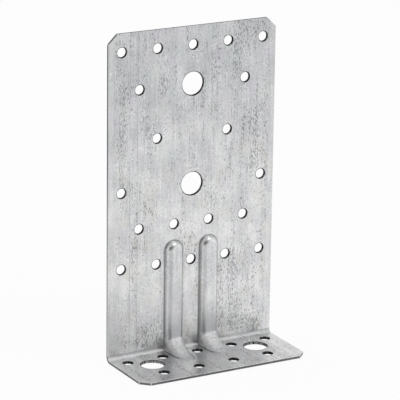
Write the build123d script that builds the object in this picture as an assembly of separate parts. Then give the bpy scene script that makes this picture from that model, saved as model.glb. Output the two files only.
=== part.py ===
# Reinforced angle bracket: one sheet folded to an L, two ribs pressed through the bend.
# X runs across the width, Y from the foot's free edge to the upright, Z up from the foot's underside.
import os
from math import cos, radians, sin, tan

from build123d import *

# The folded sheet
sheet_thickness = 1.5
width = 95.0
height = 170.0
foot_depth = 40.0
inner_bend_radius = 2.0
upright_corner_cut = 5.0
foot_corner_cut = 4.5

# The punched holes
nail_hole_diameter = 5.0
bolt_hole_diameter = 12.0
nail_pitch = 20.0
top_row_from_edge = 9.5
upright_row_step = 20.0
upright_middle_step = 26.0
foot_back_row = 9.5
foot_row_step = 20.0
foot_bolt_row = 17.0
foot_bolt_spacing = 60.0

# The two pressed ribs
rib_spacing = 20.0
rib_width = 10.2
rib_height = 3.2
rib_top = 59.8
rib_flank_angle = 85.0
rib_shoulder_radius = 3.4
rib_back_root_radius = 1.8
gusset_turn_height = 7.8
gusset_turn_radius = 2.0
gusset_angle = 36.0
gusset_tip_angle = 6.0
gusset_reach = 23.0

outer_bend_radius = inner_bend_radius + sheet_thickness
crest_depth = sheet_thickness + rib_height
rib_end_height = rib_top - rib_width / 2
section_depth = 3 * crest_depth  # carries a rib's sides well behind the sheet
block_depth = 3 * section_depth  # carries the solid behind the sheet past the rib's sides
drill_length = 4 * crest_depth  # passes a rib's crest on either side of the sheet


def angled_block(inside, corner_radius):
    """Everything behind an L shaped surface that lies the given distance inside the fold."""
    outline = Polyline(
        (block_depth, height + block_depth),
        (-inside, height + block_depth),
        (-inside, inside),
        (-foot_depth - block_depth, inside),
        (-foot_depth - block_depth, -block_depth),
        (block_depth, -block_depth),
        close=True,
    )
    face = make_face(Plane.YZ * outline)
    block = extrude(face, amount=width, both=True)
    corner = block.edges().filter_by(Axis.X).sort_by_distance((0, -inside, inside))[0]
    return fillet(corner, corner_radius)


def crest_path():
    """Line of the rib's crest: down the upright, over the fold and into the foot."""
    start = Vector(0, -crest_depth, rib_end_height)
    turn = Vector(0, -crest_depth, gusset_turn_height)
    tip = Vector(0, -gusset_reach, sheet_thickness)
    slope = tan(radians(gusset_angle))
    tip_slope = tan(radians(gusset_tip_angle))
    run = gusset_turn_height - sheet_thickness - tip_slope * (gusset_reach - crest_depth)
    run = run / (slope - tip_slope)
    meet = Vector(0, -crest_depth - run, gusset_turn_height - slope * run)
    into = (turn - start).normalized()
    down = (meet - turn).normalized()
    out = (tip - meet).normalized()
    turn_run = gusset_turn_radius * tan(radians(into.get_angle(down)) / 2)
    a = turn - into * turn_run
    b = turn + down * turn_run
    c = meet + out * (meet - b).length
    end = tip + out * (sheet_thickness / sin(radians(gusset_tip_angle)))
    return Wire([
        Edge.make_line(start, a),
        Edge.make_tangent_arc(a, into, b),
        Edge.make_tangent_arc(b, down, c),
        Edge.make_line(c, end),
    ])


def rib_section(inside):
    """Cross-section of the rib, set in from its outer skin by the given distance."""
    flank = radians(rib_flank_angle)
    crest = crest_depth - inside
    crest_half = rib_width / 2 - rib_height / tan(flank) + inside / tan(flank) - inside / sin(flank)
    root_half = crest_half + section_depth / tan(flank)
    outline = Polyline(
        (-root_half, section_depth - crest),
        (-crest_half, -crest),
        (crest_half, -crest),
        (root_half, section_depth - crest),
        close=True,
    )
    face = make_face(Plane.XY * outline)
    shoulders = face.vertices().sort_by(Axis.Y)[:2]
    return Pos(0, 0, rib_end_height) * fillet(shoulders, rib_shoulder_radius - inside)


def rib_body(inside):
    """The rib as a solid, from its domed top to where it runs out in the foot."""
    section = rib_section(inside)
    right_side = Rectangle(2 * rib_width, 4 * section_depth, align=(Align.MIN, Align.CENTER))
    half = section & Pos(0, 0, rib_end_height) * right_side
    dome = revolve(half, Axis((0, 0, rib_end_height), (0, -1, 0)), 180)
    return sweep(section, path=crest_path()) + dome


def skin_body(inside, corner_radius, root_radius=None):
    """Everything behind one skin of the ribbed sheet, with the ribs' roots sharp or rounded."""
    block = angled_block(inside, corner_radius)
    rib = rib_body(sheet_thickness - inside)
    ribs = [Pos(side * rib_spacing / 2, 0, 0) * rib for side in (-1, 1)]
    body = block + ribs
    if root_radius is None:
        return body
    return fillet(new_edges(block, *ribs, combined=body), root_radius)


def sheet_outline():
    """Upright and foot outlines with their corners cut off, as one block to trim by."""
    side = width / 2
    upright = make_face(Plane.XZ * Polyline(
        (-side, 0),
        (-side, height - upright_corner_cut),
        (-side + upright_corner_cut, height),
        (side - upright_corner_cut, height),
        (side, height - upright_corner_cut),
        (side, 0),
        close=True,
    ))
    foot = make_face(Polyline(
        (-side, 0),
        (-side, -foot_depth + foot_corner_cut),
        (-side + foot_corner_cut, -foot_depth),
        (side - foot_corner_cut, -foot_depth),
        (side, -foot_depth + foot_corner_cut),
        (side, 0),
        close=True,
    ))
    return extrude(upright, foot_depth, (0, -1, 0)) & extrude(foot, height, (0, 0, 1))


def upright_holes():
    """Places of the nail holes and the bolt holes in the upright, as (x, z)."""
    rows = [height - top_row_from_edge]
    for step in (upright_row_step, upright_middle_step, upright_middle_step, upright_row_step, upright_row_step):
        rows.append(rows[-1] - step)
    full = [-2, -1, 0, 1, 2]
    columns = [full, [-1.5, 1.5], [-1, 1], [-2, 2], [-1.5, -0.5, 0.5, 1.5], full]
    nails = [(nail_pitch * column, row) for row, spots in zip(rows, columns) for column in spots]
    return nails, [(0, rows[1]), (0, rows[3])]


def foot_holes():
    """Places of the nail holes and the bolt holes in the foot, as (x, y)."""
    back_row = [(nail_pitch * column, -foot_back_row) for column in (-2, -1, 0, 1, 2)]
    front_row = [(nail_pitch * column, -foot_back_row - foot_row_step) for column in (-1.5, -0.5, 0.5, 1.5)]
    bolts = [(side * foot_bolt_spacing / 2, -foot_bolt_row) for side in (-1, 1)]
    return back_row + front_row, bolts


def drills(plane, nails, bolts):
    """Cutters for the holes of one leaf."""
    spots = [(spot, nail_hole_diameter / 2) for spot in nails] + [(spot, bolt_hole_diameter / 2) for spot in bolts]
    return [plane * Pos(*spot, 0) * Cylinder(radius, drill_length) for spot, radius in spots]


front = skin_body(sheet_thickness, inner_bend_radius)
back = skin_body(0, outer_bend_radius, rib_back_root_radius)
bracket = (front & sheet_outline()) - back
bracket = bracket - drills(Plane.XZ, *upright_holes()) - drills(Plane.XY, *foot_holes())
bracket = Pos(0, foot_depth / 2, 0) * bracket.solid()
bracket.label = "bracket"

os.makedirs("parts", exist_ok=True)
export_step(bracket, "parts/bracket.step")
box = bracket.bounding_box()
print("bracket", bracket.is_valid, "faces", len(bracket.faces()), "volume mm3", round(bracket.volume, 1))
print("box", [round(v, 2) for v in (*box.min, *box.max)])
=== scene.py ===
import math

import bmesh
import bpy
from mathutils import Matrix, Vector


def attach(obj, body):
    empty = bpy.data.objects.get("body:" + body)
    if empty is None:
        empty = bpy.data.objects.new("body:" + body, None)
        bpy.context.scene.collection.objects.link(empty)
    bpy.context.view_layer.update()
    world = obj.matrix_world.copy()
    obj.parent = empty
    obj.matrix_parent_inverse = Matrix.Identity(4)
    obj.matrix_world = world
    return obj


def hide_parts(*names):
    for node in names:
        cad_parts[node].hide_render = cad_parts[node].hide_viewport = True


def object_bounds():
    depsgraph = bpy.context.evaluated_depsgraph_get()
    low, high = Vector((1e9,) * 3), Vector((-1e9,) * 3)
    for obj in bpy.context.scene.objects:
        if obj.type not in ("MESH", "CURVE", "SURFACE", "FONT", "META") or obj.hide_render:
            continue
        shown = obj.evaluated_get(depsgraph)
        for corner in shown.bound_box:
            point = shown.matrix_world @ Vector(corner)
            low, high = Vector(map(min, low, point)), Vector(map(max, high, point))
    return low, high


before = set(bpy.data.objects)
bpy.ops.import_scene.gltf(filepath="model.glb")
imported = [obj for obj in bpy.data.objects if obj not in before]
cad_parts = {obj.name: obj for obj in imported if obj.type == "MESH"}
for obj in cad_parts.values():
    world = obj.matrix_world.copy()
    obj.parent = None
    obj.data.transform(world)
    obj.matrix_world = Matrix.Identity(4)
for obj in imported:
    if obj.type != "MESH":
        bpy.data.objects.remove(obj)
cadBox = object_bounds()
print("frame loaded")

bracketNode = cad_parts["bracket"]
sceneNow = bpy.context.scene
white = (1.0, 1.0, 1.0, 1.0)


# Small helpers for shader trees

def setSocket(tree, socket, value):
    if isinstance(value, bpy.types.NodeSocket):
        tree.links.new(value, socket)
    else:
        socket.default_value = value


def addNode(tree, kind, settings=None, **inputs):
    made = tree.nodes.new(kind)
    for name, value in (settings or {}).items():
        setattr(made, name, value)
    for name, value in inputs.items():
        setSocket(tree, made.inputs[name.replace("_", " ")], value)
    return made


# Works through the values from left to right
def calc(tree, operation, first, *others, clamp=False):
    for other in others:
        made = addNode(tree, "ShaderNodeMath", {"operation": operation, "use_clamp": clamp})
        setSocket(tree, made.inputs[0], first)
        setSocket(tree, made.inputs[1], other)
        first = made.outputs[0]
    return first


def absolute(tree, value):
    made = addNode(tree, "ShaderNodeMath", {"operation": "ABSOLUTE"})
    tree.links.new(value, made.inputs[0])
    return made.outputs[0]


def apart(tree, first, second):
    return absolute(tree, calc(tree, "SUBTRACT", first, second))


def reach(tree, across, along):
    place = addNode(tree, "ShaderNodeCombineXYZ", X=across, Y=along).outputs[0]
    made = addNode(tree, "ShaderNodeVectorMath", {"operation": "LENGTH"}, Vector=place)
    return made.outputs["Value"]


# Eases from one result to the other while the value goes from low to high
def ramp(tree, value, low, high, atLow=0.0, atHigh=1.0):
    made = addNode(
        tree, "ShaderNodeMapRange", {"interpolation_type": "SMOOTHSTEP"},
        Value=value, From_Min=low, From_Max=high, To_Min=atLow, To_Max=atHigh,
    )
    return made.outputs["Result"]


# A mix node for colours has its factor at 0, its two colours at 6 and 7, and its result at 2
def mixColour(tree, factor, first, second):
    made = addNode(tree, "ShaderNodeMix", {"data_type": "RGBA"})
    factorSocket, firstSocket, secondSocket = (made.inputs[place] for place in (0, 6, 7))
    setSocket(tree, factorSocket, factor)
    for socket, colour in ((firstSocket, first), (secondSocket, second)):
        setSocket(tree, socket, (*colour, 1.0) if isinstance(colour, tuple) else colour)
    return made.outputs[2]


# One patch of the pattern is width across the sheet and length along it, in metres
def noise(tree, place, width, length, seed, detail=2.0, rough=0.5, distortion=0.0):
    scaled = addNode(
        tree, "ShaderNodeMapping", Vector=place,
        Location=(0, 0, seed), Scale=(1 / width, 1 / length, 1),
    )
    made = addNode(
        tree, "ShaderNodeTexNoise", Vector=scaled.outputs[0],
        Scale=1.0, Detail=detail, Roughness=rough, Distortion=distortion,
    )
    return made.outputs["Fac"]


def newMaterial(name):
    made = bpy.data.materials.new(name)
    made.use_nodes = True
    tree = made.node_tree
    shader = tree.nodes["Principled BSDF"]
    coords = tree.nodes.new("ShaderNodeTexCoord").outputs["Object"]
    axes = addNode(tree, "ShaderNodeSeparateXYZ", Vector=coords).outputs
    return made, tree, shader, coords, axes


def addBump(tree, shader, height, strength, depth):
    bump = addNode(tree, "ShaderNodeBump", Height=height, Strength=strength, Distance=depth)
    tree.links.new(bump.outputs[0], shader.inputs["Normal"])


# The zinc skin: clouded, streaked and pitted along the rolling direction.
# A pattern names its patch's width and length, and its seed.
# Most other rows of numbers are ramps: where each starts and ends, then its results there.
zinc = {
    "pale": (0.84, 0.84, 0.84),
    "dull": (0.53, 0.542, 0.556),
    "pitAndShade": (0.13, 0.13, 0.14),
    "metallic": 1.0,
    "roughness": (0.3, 0.7, 0.35, 0.27),  # over the clouds
    "bumpStrength": 0.3,
    "bumpDepth": 0.00003,
    "grainBump": 0.5,
    # Tone, from dull at 0 to pale at 1; by height it is painted shade, duller towards the top
    "cloud": {"width": 0.011, "length": 0.0176, "seed": 3.1, "detail": 3.0, "rough": 0.55},
    "streak": {"width": 0.0011, "length": 0.022, "seed": 4.4, "detail": 1.0},
    "grain": {"width": 0.0006, "length": 0.0009, "seed": 7.7, "detail": 1.0},
    "paintedShadeByHeight": (0.04, 0.17, 0.76, 0.12),
    "toneByCloud": (0.3, 0.7, -0.22, 0.22),
    "toneByStreak": (0.35, 0.65, -0.14, 0.14),
    "toneByGrain": (0.3, 0.7, -0.28, 0.28),
    # Tints, each in patches of its own and stronger or weaker towards the top
    "tints": (
        {"colour": (0.645, 0.625, 0.675), "seed": 8.4, "topShare": 0.5},
        {"colour": (0.62, 0.655, 0.645), "seed": 12.8, "topShare": 0.42},
        {"colour": (0.70, 0.685, 0.64), "seed": 16.1, "topShare": 0.15},
    ),
    "tintWidth": 0.009,
    "tintLength": 0.0117,
    "tintPatch": (0.5, 0.66),
    "tintFrom": 0.09,
    "tintTo": 0.13,
    "tintShare": 0.42,
    # How thickly the pits lie
    "bands": {"width": 0.0035, "length": 0.05, "seed": 1.7, "rough": 0.6},
    "groups": {"width": 0.012, "length": 0.022, "seed": 6.3},
    "inBands": (0.46, 0.62, 0.0, 0.55),
    "inGroups": (0.42, 0.62, 0.0, 0.45),
    "toTheRight": (0.018, 0.038, 0.0, 0.25),
    "aboveFold": (0.004, 0.008),
    "aboveFoldFades": (0.012, 0.03, 0.2, 0.0),
    "besideRibs": (0.015, 0.03, 0.6, 1.2),
    "columnAt": -0.0405,
    "columnWidth": (0.0005, 0.0018, 0.5, 0.0),
    "columnHeight": (0.085, 0.1),
    "mostCrowded": 1.2,
    # The pits themselves: round dots, fine scratches and wormlike lines
    "dots": {"width": 0.0006, "length": 0.0016, "seed": 5.2, "rough": 0.55},
    "dotCrowding": 0.16,
    "dotShare": (0.66, 0.75),
    "scratches": {"width": 0.00045, "length": 0.006, "seed": 9.6, "detail": 1.0},
    "scratchCrowding": 0.06,
    "scratchShare": (0.66, 0.76, 0.0, 0.6),
    "worms": {"width": 0.0021, "length": 0.0055, "seed": 2.6, "rough": 0.55, "distortion": 0.5},
    "wormMiddle": 0.5,
    "wormWidth": (0.0, 0.02, 1.0, 0.0),
    "wormShare": (0.3, 0.9, 0.1, 0.6),
    "markStrength": 0.6,
    "cleanFrom": 0.00455,  # towards a side edge the pits fade between these two distances from it
    "cleanTo": 0.00245,
    # Two faint lines that the mill's rolls left
    "rollLines": (-0.0310, -0.0353),  # their places across the sheet
    "rollLineWidth": 0.00035,
    "rollWear": {"width": 0.004, "length": 0.03, "seed": 9.1, "detail": 1.0},
    "rollWearShare": (0.3, 0.6, 0.25, 0.7),
    # Where the ribs are, and the painted shade in the creases round them
    "ribSpacing": 0.020,
    "ribWidth": 0.0102,
    "ribEnd": 0.0547,  # height at which a rib's rounded top begins
    "creaseWidth": 0.0006,
    "creaseOut": 0.0003,  # how far outside the rib the crease is darkest
    "creaseFront": (0.0186, 0.0188, 1.0, 0.0),
    "creaseAboveFold": (0.003, 0.006),
    "creaseLineShade": 0.8,
    # painted shade on the faces of the eased creases
    "creaseShadeShare": 0.7,
    # What the press does to the zinc on the ribs and over the fold, and the painted shade and
    # highlight there
    "pressedFront": (0.0176, 0.0184, 1.0, 0.0),
    "pressedAboveFoot": (0.0016, 0.0020),
    "pressedQuiet": 0.7,
    # painted shade: the ribs darker, most near the foot
    "paintedRibShade": (0.0095, 0.03, 0.75, 0.2),
    # mottled zinc with a painted highlight on the slopes where the ribs run down onto the foot,
    # which are rougher too
    "slopes": (0.0075, 0.0095, 1.0, 0.0),
    "slopeRoughness": 0.22,
    "mottledHighlight": {"width": 0.0016, "length": 0.0016, "seed": 14.2, "detail": 3.0, "rough": 0.6},
    "mottleShare": (0.35, 0.65, 0.15, 0.8),
    # the painted shade in a band above the fold: where it starts, and where it fades
    "foldStarts": (0.0016, 0.0020),
    "foldFades": (0.0030, 0.0044, 0.45, 0.0),
}


# Place on the sheet as if it lay flat: across it, and along it from the foot's free edge to the top
def flatPlace(tree, axes):
    along = calc(tree, "ADD", axes["Y"], axes["Z"])
    return addNode(tree, "ShaderNodeCombineXYZ", X=axes["X"], Y=along).outputs[0]


# How thickly the pits lie: in bands along the rolling direction, over the fold and to the right
def pitCrowding(tree, axes, place):
    bands = ramp(tree, noise(tree, place, **zinc["bands"]), *zinc["inBands"])
    groups = ramp(tree, noise(tree, place, **zinc["groups"]), *zinc["inGroups"])
    right = ramp(tree, axes["X"], *zinc["toTheRight"])
    fold = calc(
        tree, "MULTIPLY",
        ramp(tree, axes["Z"], *zinc["aboveFold"]),
        ramp(tree, absolute(tree, axes["X"]), *zinc["besideRibs"]),
        ramp(tree, axes["Z"], *zinc["aboveFoldFades"]),
    )
    column = calc(
        tree, "MULTIPLY",
        ramp(tree, apart(tree, axes["X"], zinc["columnAt"]), *zinc["columnWidth"]),
        ramp(tree, axes["Z"], *zinc["columnHeight"]),
    )
    crowding = calc(tree, "ADD", bands, groups, right, fold, column)
    return calc(tree, "MINIMUM", crowding, zinc["mostCrowded"])


def pits(tree, axes, place):
    crowding = pitCrowding(tree, axes, place)
    dots = noise(tree, place, **zinc["dots"])
    moreDots = calc(tree, "MULTIPLY", crowding, zinc["dotCrowding"])
    dots = ramp(tree, calc(tree, "ADD", dots, moreDots), *zinc["dotShare"])
    scratches = noise(tree, place, **zinc["scratches"])
    moreScratches = calc(tree, "MULTIPLY", crowding, zinc["scratchCrowding"])
    scratches = ramp(tree, calc(tree, "ADD", scratches, moreScratches), *zinc["scratchShare"])
    worms = apart(tree, noise(tree, place, **zinc["worms"]), zinc["wormMiddle"])
    worms = calc(
        tree, "MULTIPLY",
        ramp(tree, worms, *zinc["wormWidth"]),
        ramp(tree, crowding, *zinc["wormShare"]),
    )
    return calc(tree, "MAXIMUM", dots, scratches, worms)


def rollLines(tree, axes, place):
    lines = [
        ramp(tree, apart(tree, axes["X"], spot), 0.0, zinc["rollLineWidth"], 1.0, 0.0)
        for spot in zinc["rollLines"]
    ]
    worn = ramp(tree, noise(tree, place, **zinc["rollWear"]), *zinc["rollWearShare"])
    return calc(tree, "MULTIPLY", calc(tree, "ADD", *lines), worn)


# 1 where the sheet is pressed out of its two flat leaves
def pressedShare(tree, axes):
    front = ramp(tree, axes["Y"], *zinc["pressedFront"])
    return calc(tree, "MULTIPLY", front, ramp(tree, axes["Z"], *zinc["pressedAboveFoot"]))


# 1 in the crease that runs round each rib on the upright, where shade is painted
def ribCrease(tree, axes):
    across = calc(tree, "SUBTRACT", absolute(tree, axes["X"]), zinc["ribSpacing"] / 2)
    above = calc(tree, "MAXIMUM", calc(tree, "SUBTRACT", axes["Z"], zinc["ribEnd"]), 0.0)
    away = apart(tree, reach(tree, across, above), zinc["ribWidth"] / 2 + zinc["creaseOut"])
    return calc(
        tree, "MULTIPLY",
        ramp(tree, away, 0.0, zinc["creaseWidth"], 1.0, 0.0),
        ramp(tree, axes["Y"], *zinc["creaseFront"]),
        ramp(tree, axes["Z"], *zinc["creaseAboveFold"]),
    )


def tinted(tree, axes, place, colour):
    for tint in zinc["tints"]:
        patch = noise(tree, place, zinc["tintWidth"], zinc["tintLength"], tint["seed"])
        share = ramp(
            tree, axes["Z"], zinc["tintFrom"], zinc["tintTo"], zinc["tintShare"], tint["topShare"],
        )
        share = calc(tree, "MULTIPLY", ramp(tree, patch, *zinc["tintPatch"]), share)
        colour = mixColour(tree, share, colour, tint["colour"])
    return colour


# Pits, roll lines and the painted shade in the creases together, from 0, clean, to 1
def marksWithCreaseShade(tree, axes, place, pressed):
    halfWidth = max(abs(corner[0]) for corner in cadBox)
    low, high = halfWidth - zinc["cleanFrom"], halfWidth - zinc["cleanTo"]
    edge = ramp(tree, absolute(tree, axes["X"]), low, high)
    quiet = calc(tree, "MAXIMUM", edge, calc(tree, "MULTIPLY", pressed, zinc["pressedQuiet"]))
    pitted = calc(tree, "MULTIPLY", pits(tree, axes, place), calc(tree, "SUBTRACT", 1.0, quiet))
    # Painted shade along the creases round the ribs
    creases = calc(tree, "MULTIPLY", ribCrease(tree, axes), zinc["creaseLineShade"])
    return calc(tree, "MAXIMUM", pitted, rollLines(tree, axes, place), creases)


def zincSkin(name, paintedShade):
    made, tree, shader, _, axes = newMaterial(name)
    place = flatPlace(tree, axes)
    pressed = pressedShare(tree, axes)
    cloud = noise(tree, place, **zinc["cloud"])
    streak = noise(tree, place, **zinc["streak"])
    grain = noise(tree, place, **zinc["grain"])

    toneAndShade = calc(
        tree, "ADD",
        # painted shade: the sheet duller towards the top
        ramp(tree, axes["Z"], *zinc["paintedShadeByHeight"]),
        ramp(tree, cloud, *zinc["toneByCloud"]),
        ramp(tree, streak, *zinc["toneByStreak"]),
    )
    # Painted shade: the ribs' tone lowered, most near the foot
    paintedRibShade = calc(tree, "MULTIPLY", pressed, ramp(tree, axes["Z"], *zinc["paintedRibShade"]))
    toneAndShade = calc(tree, "SUBTRACT", toneAndShade, paintedRibShade)
    toneAndShade = calc(tree, "ADD", toneAndShade, ramp(tree, grain, *zinc["toneByGrain"]), clamp=True)
    colour = mixColour(tree, toneAndShade, zinc["dull"], zinc["pale"])
    colour = tinted(tree, axes, place, colour)

    # Painted highlight: the slopes down onto the foot mixed towards pale in mottled patches
    slope = calc(tree, "MULTIPLY", pressed, ramp(tree, axes["Z"], *zinc["slopes"]))
    mottledHighlight = ramp(tree, noise(tree, place, **zinc["mottledHighlight"]), *zinc["mottleShare"])
    colour = mixColour(tree, calc(tree, "MULTIPLY", slope, mottledHighlight), colour, zinc["pale"])

    marksAndCreaseShade = marksWithCreaseShade(tree, axes, place, pressed)
    # Painted shade in a band just above the fold
    foldShade = calc(
        tree, "MULTIPLY",
        ramp(tree, axes["Z"], *zinc["foldStarts"]),
        ramp(tree, axes["Z"], *zinc["foldFades"]),
        calc(tree, "SUBTRACT", 1.0, pressed),
    )
    # Pits and roll lines darken the colour, together with the painted shade in the creases and
    # above the fold
    marksAndShade = calc(tree, "MAXIMUM", calc(tree, "MULTIPLY", marksAndCreaseShade, zinc["markStrength"]), foldShade, paintedShade)
    colour = mixColour(tree, marksAndShade, colour, zinc["pitAndShade"])
    tree.links.new(colour, shader.inputs["Base Color"])

    shader.inputs["Metallic"].default_value = zinc["metallic"]
    rough = calc(tree, "MULTIPLY", slope, zinc["slopeRoughness"])
    rough = calc(tree, "ADD", ramp(tree, cloud, *zinc["roughness"]), rough)
    tree.links.new(rough, shader.inputs["Roughness"])
    height = calc(tree, "SUBTRACT", calc(tree, "MULTIPLY", grain, zinc["grainBump"]), marksAndCreaseShade)
    addBump(tree, shader, height, zinc["bumpStrength"], zinc["bumpDepth"])
    return made


# Bare steel: smeared with zinc along the sheared outline; in the punched holes painted near black,
# as painted shade inside them
outlineSteel = {
    "name": "outlineCut",
    "dark": (0.02, 0.02, 0.022),
    "light": (0.13, 0.13, 0.135),
    "tornShare": (0.35, 0.7),
    "wiped": (0.42, 0.42, 0.425),  # zinc that the shear dragged over the lower part of the outline
    "wipedBelow": 0.085,
    "metallic": 0.4,
    "roughness": 0.5,
    "shine": 0.2,
    "speckled": False,
}
# The holes' walls: bare steel painted near black and matt, painted shade for the holes' dark
# insides
shadedHoleSteel = {
    "name": "holeCutShaded",
    "dark": (0.012, 0.012, 0.014),
    "light": (0.30, 0.30, 0.31),
    "tornShare": (0.52, 0.72),
    "wiped": (0.06, 0.06, 0.065),
    "wipedBelow": 0.0,
    "metallic": 0.0,
    "roughness": 0.8,
    "shine": 0.1,
    "speckled": True,
}
# What both cuts share, in patterns and ramps like those of the zinc
cut = {
    "torn": {"width": 0.0009, "length": 0.0009, "seed": 6.1, "detail": 3.0, "rough": 0.6},
    "wipedEdge": (0.3, 0.7, -0.02, 0.02),  # the wiped part ends in a ragged line
    "wipedFade": 0.02,
    "wipedShare": 0.6,
    "wipedOnFoot": (0.002, 0.005, 0.4, 1.0),
    "bumpStrength": 0.5,
    "bumpDepth": 0.00005,
    "bolt": (0.030, 0.003),  # middle of the foot's bolt holes, whose walls have specks of torn zinc
    "boltReach": (0.0066, 0.0068, 1.0, 0.0),
    "boltHeight": (0.0012, 0.0014, 1.0, 0.0),
    "speck": {"width": 0.0004, "length": 0.0004, "seed": 2.2, "rough": 0.6},
    "speckShare": (0.49, 0.55, 0.0, 0.85),
    "speckColour": (0.6, 0.6, 0.6),
}


def addSpecks(tree, axes, coords, colour):
    across = calc(tree, "SUBTRACT", absolute(tree, axes["X"]), cut["bolt"][0])
    along = calc(tree, "SUBTRACT", axes["Y"], cut["bolt"][1])
    specks = calc(
        tree, "MULTIPLY",
        ramp(tree, noise(tree, coords, **cut["speck"]), *cut["speckShare"]),
        ramp(tree, reach(tree, across, along), *cut["boltReach"]),
        ramp(tree, axes["Z"], *cut["boltHeight"]),
    )
    return mixColour(tree, specks, colour, cut["speckColour"])


def cutSteel(look):
    made, tree, shader, coords, axes = newMaterial(look["name"])
    torn = noise(tree, coords, **cut["torn"])
    colour = mixColour(tree, ramp(tree, torn, *look["tornShare"]), look["dark"], look["light"])
    edge = calc(tree, "ADD", axes["Z"], ramp(tree, torn, *cut["wipedEdge"]))
    low, high = look["wipedBelow"] - cut["wipedFade"], look["wipedBelow"] + cut["wipedFade"]
    wiped = ramp(tree, edge, low, high, cut["wipedShare"], 0.0)
    wiped = calc(tree, "MULTIPLY", wiped, ramp(tree, axes["Z"], *cut["wipedOnFoot"]))
    colour = mixColour(tree, wiped, colour, look["wiped"])
    if look["speckled"]:
        colour = addSpecks(tree, axes, coords, colour)
    tree.links.new(colour, shader.inputs["Base Color"])
    shader.inputs["Metallic"].default_value = look["metallic"]
    shader.inputs["Roughness"].default_value = look["roughness"]
    shader.inputs["Specular IOR Level"].default_value = look["shine"]
    addBump(tree, shader, torn, cut["bumpStrength"], cut["bumpDepth"])
    return made


# The folded sheet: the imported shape, welded, with its sheared edges eased
sheet = {
    "weld": 0.000002,
    "shearedAngle": math.radians(40),  # a sharper turn than this is a sheared edge or a crease
    "flatAngle": math.radians(0.2),  # triangles that turn less than this are one flat face
    "outlineEase": 0.0002,
    "rimEase": 0.0004,  # the punch draws the skin down round each hole
    "creaseEase": 0.0003,
    "easeSteps": 3,
    "easeProfile": 0.5,
}


# Sorts faces into patches that no sheared edge crosses: both skins, then the outline and the holes
def skinsAndWalls(shape):
    patches = []
    left = set(shape.faces)
    while left:
        patch = [left.pop()]
        for face in patch:
            for edge in face.edges:
                if edge.calc_face_angle_signed(0.0) > sheet["shearedAngle"]:
                    continue
                for other in edge.link_faces:
                    if other in left:
                        left.remove(other)
                        patch.append(other)
        patches.append(patch)
    patches.sort(key=lambda patch: -sum(face.calc_area() for face in patch))
    skins, walls = patches[:2], patches[2:]
    holes = [wall for wall in walls if min(face.normal.dot(wall[0].normal) for face in wall) < 0]
    outline = [wall for wall in walls if wall not in holes]
    return skins, outline, holes


# Sharp edges of the faces that have one material, those that turn out (1) or in (-1)
def sharpEdges(shape, index, turn):
    return [
        edge for edge in shape.edges
        if turn * edge.calc_face_angle_signed(0.0) > sheet["shearedAngle"]
        and max(face.material_index for face in edge.link_faces) == index
    ]


def easeEdges(shape, edges, width, material):
    bmesh.ops.bevel(
        shape, geom=edges, offset=width, offset_type="OFFSET", segments=sheet["easeSteps"],
        profile=sheet["easeProfile"], affect="EDGES", clamp_overlap=False, material=material,
    )


def buildSheet():
    mesh = bracketNode.data.copy()
    mesh.name = "bracketSheet"
    mesh.attributes.remove(mesh.attributes["custom_normal"])
    mesh.materials.clear()
    skin, outline, hole, crease = range(4)  # the materials' places on the mesh
    mesh.materials.append(zincSkin("zincSkin", 0.0))
    mesh.materials.append(cutSteel(outlineSteel))
    mesh.materials.append(cutSteel(shadedHoleSteel))
    # The eased creases get the zinc painted darker, as painted shade
    mesh.materials.append(zincSkin("creaseShadedZinc", zinc["creaseShadeShare"]))

    shape = bmesh.new()
    shape.from_mesh(mesh)
    bmesh.ops.remove_doubles(shape, verts=shape.verts, dist=sheet["weld"])
    bmesh.ops.dissolve_limit(
        shape, angle_limit=sheet["flatAngle"], verts=shape.verts, edges=shape.edges,
    )
    groups = skinsAndWalls(shape)
    print("skins, outline walls, hole walls:", [len(group) for group in groups])
    for index, group in zip((skin, outline, hole), groups):
        for patch in group:
            for face in patch:
                face.material_index = index
                face.smooth = True
    easeEdges(shape, sharpEdges(shape, skin, -1), sheet["creaseEase"], crease)
    easeEdges(shape, sharpEdges(shape, outline, 1), sheet["outlineEase"], skin)
    easeEdges(shape, sharpEdges(shape, hole, 1), sheet["rimEase"], hole)
    bmesh.ops.dissolve_degenerate(shape, dist=sheet["weld"], edges=shape.edges)
    for edge in shape.edges:
        edge.smooth = edge.calc_face_angle(0.0) < sheet["shearedAngle"]
    shape.to_mesh(mesh)
    shape.free()

    piece = bpy.data.objects.new("bracketSheet", mesh)
    bpy.context.collection.objects.link(piece)
    flats = piece.modifiers.new("flats", "WEIGHTED_NORMAL")
    flats.keep_sharp = True
    graph = bpy.context.evaluated_depsgraph_get()
    graph.update()
    final = bpy.data.meshes.new_from_object(
        piece.evaluated_get(graph), preserve_all_data_layers=True, depsgraph=graph,
    )
    piece.modifiers.clear()
    piece.data = final
    return piece


bracketSheet = buildSheet()
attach(bracketSheet, "root")
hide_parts("bracket")
print("sheet made", len(bracketSheet.data.polygons), "faces")


# Floor and world: pale, and white to the camera
studio = {
    "floorSize": 6.0,
    "floorColour": (0.86, 0.86, 0.86),
    "floorWhite": 0.93,  # share of plain white that the camera sees in the floor
    "worldFill": 0.75,
    "overhead": 0.72,  # the studio's ceiling is greyer than its walls
    "wallTop": 0.1,  # sine of the height angle at which the walls start to grey
    "ceiling": 0.7,
    "cameraSide": (-0.485, -0.855, 0.18),
    # Cosines of the angles from the camera's side where its darkening starts and where it is full
    "sideFrom": 0.72,
    "sideTo": 0.96,
    "sideWall": 0.88,
    "sideFloor": 0.2,
    "keyPower": 5.0,
    "keySize": 1.2,
    "keyPlace": (0.5, -0.9, 1.9),
    "fillPower": 2.0,
    "fillSize": 1.5,
    "fillPlace": (1.7, -1.2, 0.9),
}


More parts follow.
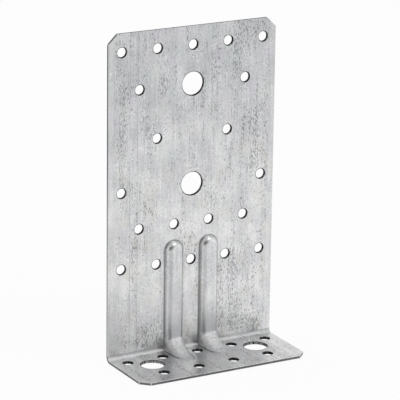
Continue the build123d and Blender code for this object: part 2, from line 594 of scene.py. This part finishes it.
# 1 for camera, glossy and transmission rays
def seenPlainly(tree):
    path = tree.nodes.new("ShaderNodeLightPath")
    names = ("Is Camera Ray", "Is Glossy Ray", "Is Transmission Ray")
    return calc(tree, "MAXIMUM", *(path.outputs[name] for name in names))


# Metal shows the camera's side of the studio darker, as the camera and its stand block light there
def cameraShade(tree, direction, depth):
    unit = addNode(tree, "ShaderNodeVectorMath", {"operation": "NORMALIZE"}, Vector=direction)
    facing = addNode(tree, "ShaderNodeVectorMath", {"operation": "DOT_PRODUCT"})
    tree.links.new(unit.outputs["Vector"], facing.inputs[0])
    facing.inputs[1].default_value = studio["cameraSide"]
    shade = ramp(tree, facing.outputs["Value"], studio["sideFrom"], studio["sideTo"], 0.0, depth)
    glossy = tree.nodes.new("ShaderNodeLightPath").outputs["Is Glossy Ray"]
    return calc(tree, "SUBTRACT", 1.0, calc(tree, "MULTIPLY", shade, glossy))


def mixShaders(tree, share, first, second, outputKind):
    mixed = tree.nodes.new("ShaderNodeMixShader")
    for socket, value in zip(mixed.inputs, (share, first.outputs[0], second.outputs[0])):
        tree.links.new(value, socket)
    addNode(tree, outputKind, Surface=mixed.outputs[0])


def buildFloor():
    mesh = bpy.data.meshes.new("floor")
    half = studio["floorSize"] / 2
    corners = [(-half, -half, 0), (half, -half, 0), (half, half, 0), (-half, half, 0)]
    mesh.from_pydata(corners, [], [(0, 1, 2, 3)])
    floor = bpy.data.objects.new("floor", mesh)
    bpy.context.collection.objects.link(floor)
    made = bpy.data.materials.new("paleFloor")
    made.use_nodes = True
    tree = made.node_tree
    tree.nodes.clear()
    matt = addNode(tree, "ShaderNodeBsdfDiffuse", Color=(*studio["floorColour"], 1))
    place = tree.nodes.new("ShaderNodeTexCoord").outputs["Object"]
    strength = cameraShade(tree, place, studio["sideFloor"])
    plain = addNode(tree, "ShaderNodeEmission", Color=white, Strength=strength)
    share = calc(tree, "MULTIPLY", seenPlainly(tree), studio["floorWhite"])
    mixShaders(tree, share, matt, plain, "ShaderNodeOutputMaterial")
    mesh.materials.append(made)


def buildWorld():
    world = bpy.data.worlds.new("studio")
    sceneNow.world = world
    world.use_nodes = True
    tree = world.node_tree
    tree.nodes.clear()
    direction = tree.nodes.new("ShaderNodeTexCoord").outputs["Generated"]
    lift = addNode(tree, "ShaderNodeSeparateXYZ", Vector=direction).outputs["Z"]
    seen = ramp(tree, lift, studio["wallTop"], studio["ceiling"], 1.0, studio["overhead"])
    seen = calc(tree, "MULTIPLY", seen, cameraShade(tree, direction, studio["sideWall"]))
    fill = addNode(tree, "ShaderNodeBackground", Color=white, Strength=studio["worldFill"])
    plain = addNode(tree, "ShaderNodeBackground", Color=white, Strength=seen)
    mixShaders(tree, seenPlainly(tree), fill, plain, "ShaderNodeOutputWorld")


def addLamp(name, place, power, width, aim):
    data = bpy.data.lights.new(name, "AREA")
    data.energy = power
    data.size = width
    lamp = bpy.data.objects.new(name, data)
    lamp.location = place
    lamp.rotation_euler = (Vector(aim) - Vector(place)).to_track_quat("-Z", "Y").to_euler()
    bpy.context.collection.objects.link(lamp)


middle = [(low + high) / 2 for low, high in zip(*cadBox)]
buildFloor()
buildWorld()
addLamp("keyLamp", studio["keyPlace"], studio["keyPower"], studio["keySize"], middle)
addLamp("fillLamp", studio["fillPlace"], studio["fillPower"], studio["fillSize"], middle)
print("studio made")


# Camera at the photograph's angle
view = {
    "azimuth": math.radians(-29.38),
    "elevation": math.radians(16.85),
    "roll": math.radians(0.77),
    "distance": 1.3129,
    "target": (0.00572, 0.020, 0.07857),
    "focalPixels": 2589.8,
    "imagePixels": 400,
    "sensor": 36.0,
    "clipEnd": 50,
}


def buildCamera():
    turn, lift, roll = view["azimuth"], view["elevation"], view["roll"]
    level = math.cos(lift)
    back = Vector((math.sin(turn) * level, -math.cos(turn) * level, math.sin(lift)))
    right = Vector((math.cos(turn), math.sin(turn), 0))
    up = back.cross(right)
    rolledRight = math.cos(roll) * right + math.sin(roll) * up
    rolledUp = math.cos(roll) * up - math.sin(roll) * right
    data = bpy.data.cameras.new("camera")
    data.sensor_width = view["sensor"]
    data.lens = view["focalPixels"] / view["imagePixels"] * view["sensor"]
    data.clip_end = view["clipEnd"]
    camera = bpy.data.objects.new("camera", data)
    place = Vector(view["target"]) + view["distance"] * back
    axes = Matrix((rolledRight, rolledUp, back)).transposed().to_4x4()
    camera.matrix_world = Matrix.Translation(place) @ axes
    bpy.context.collection.objects.link(camera)
    sceneNow.camera = camera


buildCamera()
sceneNow.view_settings.view_transform = "Standard"
print("camera made")

bpy.context.view_layer.update()
